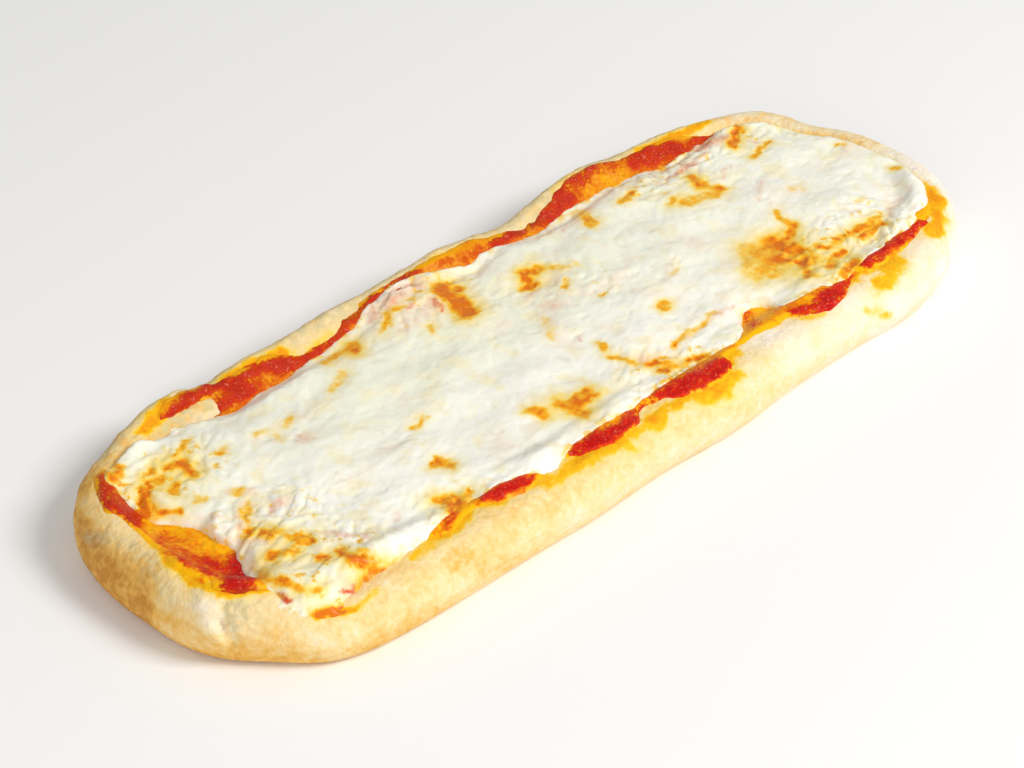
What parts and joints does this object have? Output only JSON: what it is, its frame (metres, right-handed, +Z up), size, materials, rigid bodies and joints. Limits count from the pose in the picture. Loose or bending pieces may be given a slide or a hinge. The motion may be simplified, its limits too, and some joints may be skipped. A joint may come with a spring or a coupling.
{
  "type": "cheese flatbread",
  "caption": "Long oval flatbread with an uneven raised crust rim, a layer of tomato sauce that shows round the edge, and a lumpy sheet of melted cheese spotted with sauce.",
  "frame": {"origin": "on the flat underside, at the middle of the bounding box in plan", "axes": "+X along the flatbread's length, +Y towards the long side with the higher rim, +Z up"},
  "size_m": [0.2796, 0.1058, 0.0199],
  "materials": {
    "crust": "baked bread crust, matte, pale tan with orange stains",
    "sauce": "wet tomato sauce, semi-gloss, deep red",
    "cheese": "melted cheese, soft sheen, off-white with orange and brown spots"
  },
  "bodies": {
    "root": {"crust": "crust", "sauce": "sauce", "cheese": "cheese"}
  },
  "joints": []
}
